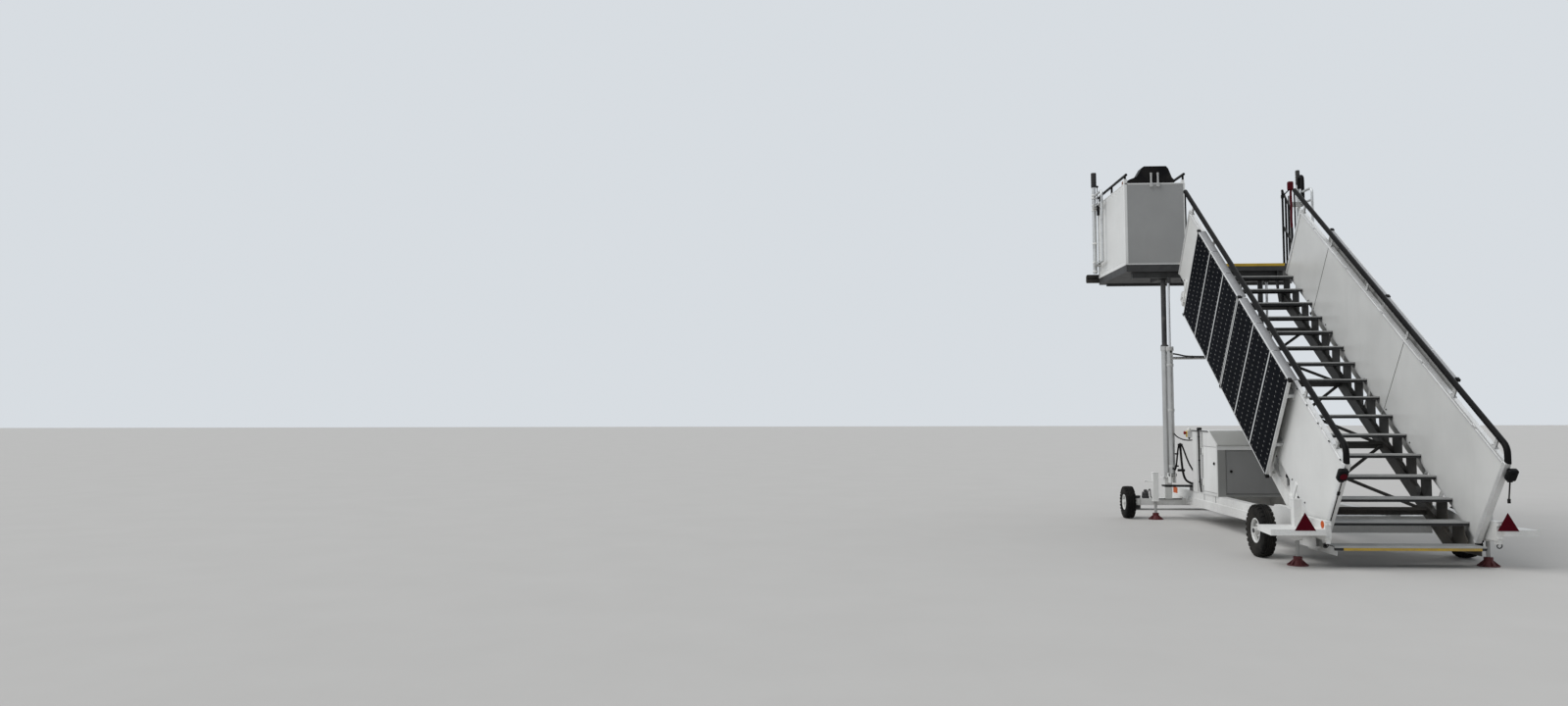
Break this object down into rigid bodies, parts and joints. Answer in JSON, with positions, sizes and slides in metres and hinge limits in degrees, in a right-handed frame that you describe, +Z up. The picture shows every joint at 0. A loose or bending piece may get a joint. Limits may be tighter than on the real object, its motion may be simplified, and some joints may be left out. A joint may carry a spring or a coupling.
{
  "type": "mobile aircraft passenger stairs",
  "caption": "Towable passenger stairs with an open-riser flight between panelled balustrades, solar arrays, a lifting platform on telescopic masts, steered axle and screw jacks.",
  "frame": {"origin": "on the ground, in the middle of the whole machine's outline seen from above", "axes": "+X towards the aircraft, where the platform is, +Y to the left of someone who climbs the stairs, +Z up"},
  "size_m": [6.7346, 3.122, 4.98],
  "materials": {
    "aluminium": "mill finish",
    "black_plastic": "matt",
    "black_rail": "matt grip coating",
    "dark_steel": "painted, worn",
    "galvanised": "dull zinc",
    "grey_paint": "semi-gloss",
    "red_paint": "gloss",
    "red_reflector": "reflective",
    "rubber": "matt",
    "solar_glass": "glossy",
    "tyre_rubber": "matt",
    "white_paint": "gloss, weathered",
    "yellow_paint": "gloss"
  },
  "bodies": {
    "chassis": {"chassis_frame": "white_paint", "rear_stubs": "dark_steel", "rear_shelves": "white_paint", "reflectors": "red_reflector", "outer_masts": "white_paint", "lift_barrels": "white_paint", "cabinet": "white_paint", "battery_pack": "black_plastic", "pump_unit": "yellow_paint"},
    "cabinet_door": {"cabinet_door": "grey_paint"},
    "cabinet_side_door": {"cabinet_side_door": "white_paint"},
    "jack_front_left": {"jack_front_left": "red_paint"},
    "jack_front_right": {"jack_front_right": "red_paint"},
    "jack_rear_left": {"jack_rear_left": "red_paint"},
    "jack_rear_right": {"jack_rear_right": "red_paint"},
    "drawbar_yoke": {"drawbar_yoke": "dark_steel"},
    "drawbar": {"drawbar": "dark_steel"},
    "tie_rod": {"tie_rod": "dark_steel"},
    "knuckle_left": {"knuckle_left": "dark_steel"},
    "knuckle_right": {"knuckle_right": "dark_steel"},
    "front_wheel_left": {"front_tyre_left": "tyre_rubber", "front_rim_left": "white_paint"},
    "front_wheel_right": {"front_tyre_right": "tyre_rubber", "front_rim_right": "white_paint"},
    "rear_wheel_left": {"rear_tyre_left": "tyre_rubber", "rear_rim_left": "white_paint"},
    "rear_wheel_right": {"rear_tyre_right": "tyre_rubber", "rear_rim_right": "white_paint"},
    "flight": {"flight_frame": "galvanised", "treads": "galvanised", "balustrade_panels": "white_paint", "balustrade_frames": "aluminium", "handrails": "black_rail", "solar_modules": "solar_glass", "solar_mounts": "aluminium", "strap_boxes": "black_plastic"},
    "platform": {"deck": "grey_paint", "deck_walls": "white_paint", "rear_wall": "grey_paint", "deck_rails": "black_rail", "console": "black_plastic", "front_bumper": "rubber", "inner_masts": "dark_steel"},
    "guard_left": {"guard_left": "grey_paint"},
    "guard_right": {"guard_right": "grey_paint"}
  },
  "joints": [
    {"name": "platform_lift", "type": "slide", "parent": "chassis", "child": "platform", "axis": [0, 0, 1], "range_m": [-0.4, 0.2]},
    {"name": "flight_tilt", "type": "hinge", "parent": "platform", "child": "flight", "pos_m": [1.54732, 0.001, 2.93095], "axis": [0, -1, 0], "range_deg": [-5.9, 2.98]},
    {"name": "guard_left_slide", "type": "slide", "parent": "platform", "child": "guard_left", "axis": [1, 0, 0], "range_m": [0, 0.3]},
    {"name": "guard_right_slide", "type": "slide", "parent": "platform", "child": "guard_right", "axis": [1, 0, 0], "range_m": [0, 0.3]},
    {"name": "jack_front_left_wind", "type": "slide", "parent": "chassis", "child": "jack_front_left", "axis": [0, 0, 1], "range_m": [0, 0.15]},
    {"name": "jack_front_right_wind", "type": "slide", "parent": "chassis", "child": "jack_front_right", "axis": [0, 0, 1], "range_m": [0, 0.15]},
    {"name": "jack_rear_left_wind", "type": "slide", "parent": "chassis", "child": "jack_rear_left", "axis": [0, 0, 1], "range_m": [0, 0.15]},
    {"name": "jack_rear_right_wind", "type": "slide", "parent": "chassis", "child": "jack_rear_right", "axis": [0, 0, 1], "range_m": [0, 0.15]},
    {"name": "drawbar_swing", "type": "hinge", "parent": "chassis", "child": "drawbar_yoke", "pos_m": [1.83132, 0.071, 0.125], "axis": [0, 0, 1], "range_deg": [-35, 35]},
    {"name": "drawbar_height", "type": "hinge", "parent": "drawbar_yoke", "child": "drawbar", "pos_m": [2.09132, 0.071, 0.145], "axis": [0, -1, 0], "range_deg": [-5, 80]},
    {"name": "steer_left", "type": "hinge", "parent": "chassis", "child": "knuckle_left", "pos_m": [1.83132, 1.256, 0.178], "axis": [0, 0, 1], "range_deg": [-36, 36]},
    {"name": "steer_right", "type": "hinge", "parent": "chassis", "child": "knuckle_right", "pos_m": [1.83132, -1.114, 0.178], "axis": [0, 0, 1], "range_deg": [-36, 36]},
    {"name": "tie_rod_swing", "type": "hinge", "parent": "drawbar_yoke", "child": "tie_rod", "pos_m": [1.98132, 0.071, 0.095], "axis": [0, 0, 1], "range_deg": [-36, 36]},
    {"name": "front_wheel_left_spin", "type": "hinge", "parent": "knuckle_left", "child": "front_wheel_left", "pos_m": [1.83132, 1.381, 0.215], "axis": [0, 1, 0], "continuous": true},
    {"name": "front_wheel_right_spin", "type": "hinge", "parent": "knuckle_right", "child": "front_wheel_right", "pos_m": [1.83132, -1.239, 0.215], "axis": [0, 1, 0], "continuous": true},
    {"name": "rear_wheel_left_spin", "type": "hinge", "parent": "chassis", "child": "rear_wheel_left", "pos_m": [-2.14868, 1.051, 0.26], "axis": [0, 1, 0], "continuous": true},
    {"name": "rear_wheel_right_spin", "type": "hinge", "parent": "chassis", "child": "rear_wheel_right", "pos_m": [-2.14868, -0.909, 0.26], "axis": [0, 1, 0], "continuous": true},
    {"name": "cabinet_door_hinge", "type": "hinge", "parent": "chassis", "child": "cabinet_door", "pos_m": [0.44132, -0.3815, 0.43], "axis": [0, 0, 1], "range_deg": [0, 110]},
    {"name": "cabinet_side_door_hinge", "type": "hinge", "parent": "chassis", "child": "cabinet_side_door", "pos_m": [0.99382, 0.641, 0.43], "axis": [0, 0, -1], "range_deg": [0, 110]}
  ],
  "couplings": [
    {"joint": "flight_tilt", "follows": "platform_lift", "rad_per_m": 0.25536},
    {"joint": "steer_left", "follows": "drawbar_swing", "ratio": 1},
    {"joint": "steer_right", "follows": "drawbar_swing", "ratio": 1},
    {"joint": "tie_rod_swing", "follows": "drawbar_swing", "ratio": -1}
  ]
}
